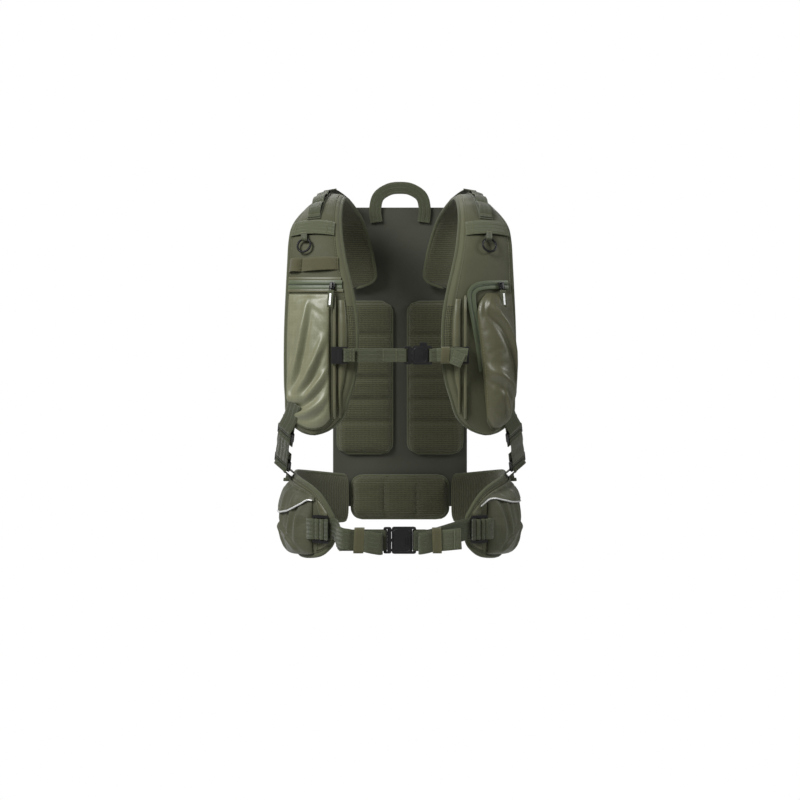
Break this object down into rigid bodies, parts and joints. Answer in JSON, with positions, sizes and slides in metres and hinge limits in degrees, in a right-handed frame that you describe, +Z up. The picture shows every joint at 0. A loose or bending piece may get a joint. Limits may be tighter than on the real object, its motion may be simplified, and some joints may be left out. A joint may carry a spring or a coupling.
{
  "type": "technical vest pack harness",
  "caption": "Wearable harness of padded shoulder straps with chest pockets, a sliding sternum strap, a buckled waist belt with padded hip pockets and a slim back panel.",
  "frame": {"origin": "midway between the two shoulder crowns, where the pads rest on the wearer", "axes": "+Z up, -Y the way the wearer faces, +X the wearer's left"},
  "size_m": [0.3828, 0.3353, 0.5623],
  "materials": {
    "coated_nylon": "coated ripstop nylon with a soft gloss",
    "shell_fabric": "matte olive pack cloth",
    "webbing": "woven nylon webbing",
    "elastic": "ribbed elastic band",
    "zip_tape": "coated zip tape and coil",
    "pull_tab": "folded webbing with a reflective stripe",
    "spacer_mesh": "open spacer mesh over foam",
    "binding": "folded binding tape",
    "black_plastic": "moulded acetal",
    "ring_metal": "black coated steel",
    "frame_sheet": "moulded frame sheet"
  },
  "bodies": {
    "harness": {"adjuster_lock_l": "black_plastic", "adjuster_lock_r": "black_plastic", "adjuster_web_l": "webbing", "adjuster_web_r": "webbing", "back_pad_l": "spacer_mesh", "back_pad_r": "spacer_mesh", "belt_anchor_l": "webbing", "belt_anchor_r": "webbing", "belt_frame_l": "black_plastic", "belt_frame_r": "black_plastic", "belt_socket": "black_plastic", "belt_web_l": "webbing", "belt_web_r": "webbing", "bottle_pocket_l": "coated_nylon", "cargo_shell": "shell_fabric", "cross_band_l": "webbing", "cross_band_r": "webbing", "daisy_strip_l": "webbing", "daisy_strip_r": "webbing", "elastic_band_r": "elastic", "frame_sheet": "frame_sheet", "haul_handle": "webbing", "hip_flap_l": "shell_fabric", "hip_flap_r": "shell_fabric", "hip_pocket_l": "shell_fabric", "hip_pocket_r": "shell_fabric", "hip_wing_l": "shell_fabric", "hip_wing_r": "shell_fabric", "load_lifter_l": "webbing", "load_lifter_r": "webbing", "lumbar_pad": "spacer_mesh", "ring_tab_l": "webbing", "ring_tab_r": "webbing", "sternum_rail_l": "binding", "sternum_rail_r": "binding", "strap_pad_l": "shell_fabric", "strap_pad_r": "shell_fabric", "wing_buckle_l": "black_plastic", "wing_buckle_r": "black_plastic", "zip_pocket_r": "coated_nylon", "zip_tape_l": "zip_tape", "zip_tape_r": "zip_tape"},
    "ring_l_body": {"ring_l": "ring_metal"},
    "ring_r_body": {"ring_r": "ring_metal"},
    "zip_l_body": {"zip_slider_l": "black_plastic"},
    "zip_r_body": {"zip_slider_r": "black_plastic"},
    "pull_l_body": {"zip_pull_l": "pull_tab"},
    "pull_r_body": {"zip_pull_r": "pull_tab"},
    "sternum_strap": {"sternum_hook_l": "black_plastic", "sternum_hook_r": "black_plastic", "sternum_web_l": "webbing", "sternum_web_r": "webbing", "sternum_socket": "black_plastic"},
    "sternum_plug_half": {"sternum_plug": "black_plastic", "sternum_loop_r": "webbing"},
    "belt_plug_half": {"belt_plug": "black_plastic", "belt_loop_r": "webbing"}
  },
  "joints": [
    {"name": "ring_swing_l", "type": "hinge", "parent": "harness", "child": "ring_l_body", "pos_m": [0.132, -0.10456, -0.05997], "axis": [-0.9354, -0.3533, -0.0123], "range_deg": [0, 70]},
    {"name": "ring_swing_r", "type": "hinge", "parent": "harness", "child": "ring_r_body", "pos_m": [-0.14192, -0.10048, -0.06003], "axis": [-0.9168, 0.3993, -0.008], "range_deg": [0, 70]},
    {"name": "zip_slide_l", "type": "slide", "parent": "harness", "child": "zip_l_body", "axis": [-0.8709, -0.491, 0.0199], "range_m": [0, 0.03]},
    {"name": "zip_pull_swing_l", "type": "hinge", "parent": "zip_l_body", "child": "pull_l_body", "pos_m": [0.15275, -0.12001, -0.12943], "axis": [-0.8709, -0.491, 0.0199], "range_deg": [0, 95]},
    {"name": "zip_slide_r", "type": "slide", "parent": "harness", "child": "zip_r_body", "axis": [-0.9572, 0.2887, 0.0207], "range_m": [0, 0.045]},
    {"name": "zip_pull_swing_r", "type": "hinge", "parent": "zip_r_body", "child": "pull_r_body", "pos_m": [-0.10154, -0.14184, -0.12943], "axis": [-0.9572, 0.2887, 0.0207], "range_deg": [0, 95]},
    {"name": "sternum_height", "type": "slide", "parent": "harness", "child": "sternum_strap", "axis": [0, 0, 1], "range_m": [-0.025, 0.03]},
    {"name": "sternum_release", "type": "slide", "parent": "sternum_strap", "child": "sternum_plug_half", "axis": [-1, 0, 0], "range_m": [0, 0.02]},
    {"name": "belt_release", "type": "slide", "parent": "harness", "child": "belt_plug_half", "axis": [-1, 0, 0], "range_m": [0, 0.022]}
  ]
}
